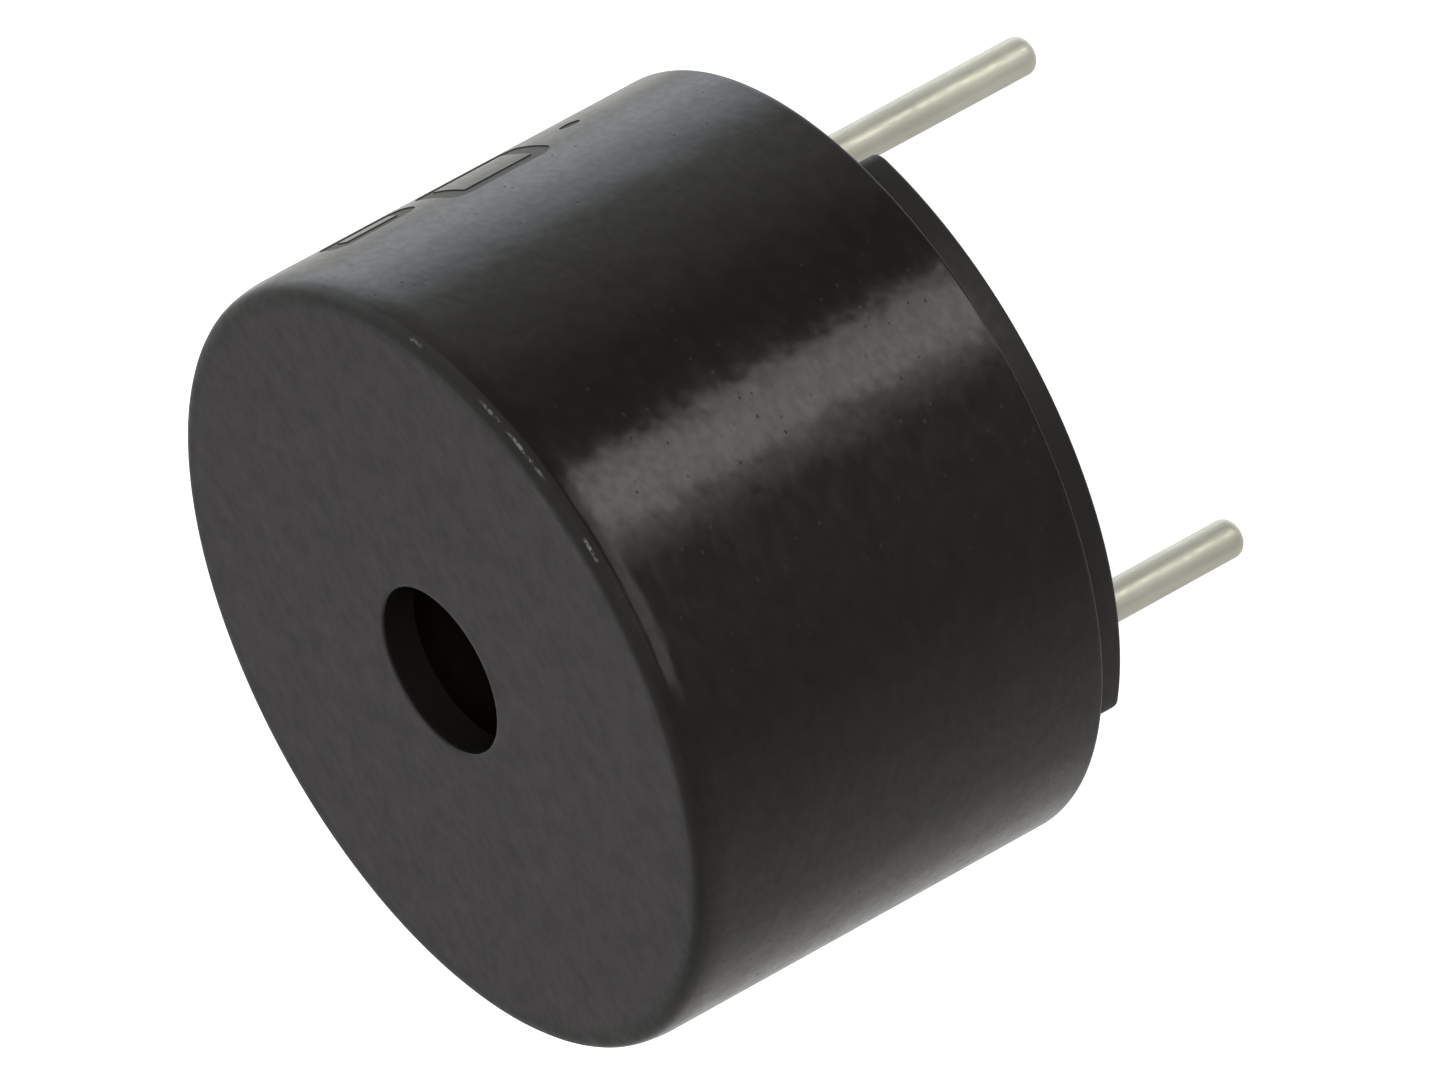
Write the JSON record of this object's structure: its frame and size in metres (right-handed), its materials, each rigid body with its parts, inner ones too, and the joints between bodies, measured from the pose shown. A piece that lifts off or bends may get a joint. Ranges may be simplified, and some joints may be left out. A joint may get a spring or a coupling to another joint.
{
  "type": "magnetic buzzer",
  "caption": "Self-driven magnetic buzzer: a round black moulded case with a central sound hole in its front, stand-off arcs on its rim and straight tinned pins.",
  "frame": {"origin": "on the case's axis, in the plane of the stand-offs, where the circuit board's face lies", "axes": "+Z along the case's axis towards the sound hole, X through both pins with the positive pin at +X"},
  "size_m": [0.012, 0.012, 0.0125],
  "materials": {
    "case_plastic": "satin black, moulded",
    "ring_plastic": "matte black, moulded",
    "spring_steel": "rolled steel foil",
    "soft_iron": "plain iron",
    "magnet_ferrite": "pressed ferrite",
    "plated_iron": "zinc plated",
    "copper_wire": "enamelled copper wire",
    "board_laminate": "glass-epoxy laminate",
    "chip_plastic": "matte moulded",
    "chip_ceramic": "fired ceramic",
    "tinned_pin": "bright tin plate",
    "solder": "bright solder",
    "epoxy_resin": "cast black resin"
  },
  "bodies": {
    "root": {"housing": "case_plastic", "support_ring": "ring_plastic", "diaphragm": "spring_steel", "armature_disc": "soft_iron", "ring_magnet": "magnet_ferrite", "pole_core": "soft_iron", "yoke_plate": "plated_iron", "drive_winding": "copper_wire", "sense_winding": "copper_wire", "circuit_board": "board_laminate", "drive_transistor": "chip_plastic", "base_resistor": "chip_ceramic", "positive_pin": "tinned_pin", "negative_pin": "tinned_pin", "positive_solder": "solder", "negative_solder": "solder", "lead_solder": "solder", "epoxy_seal": "epoxy_resin"}
  },
  "joints": []
}
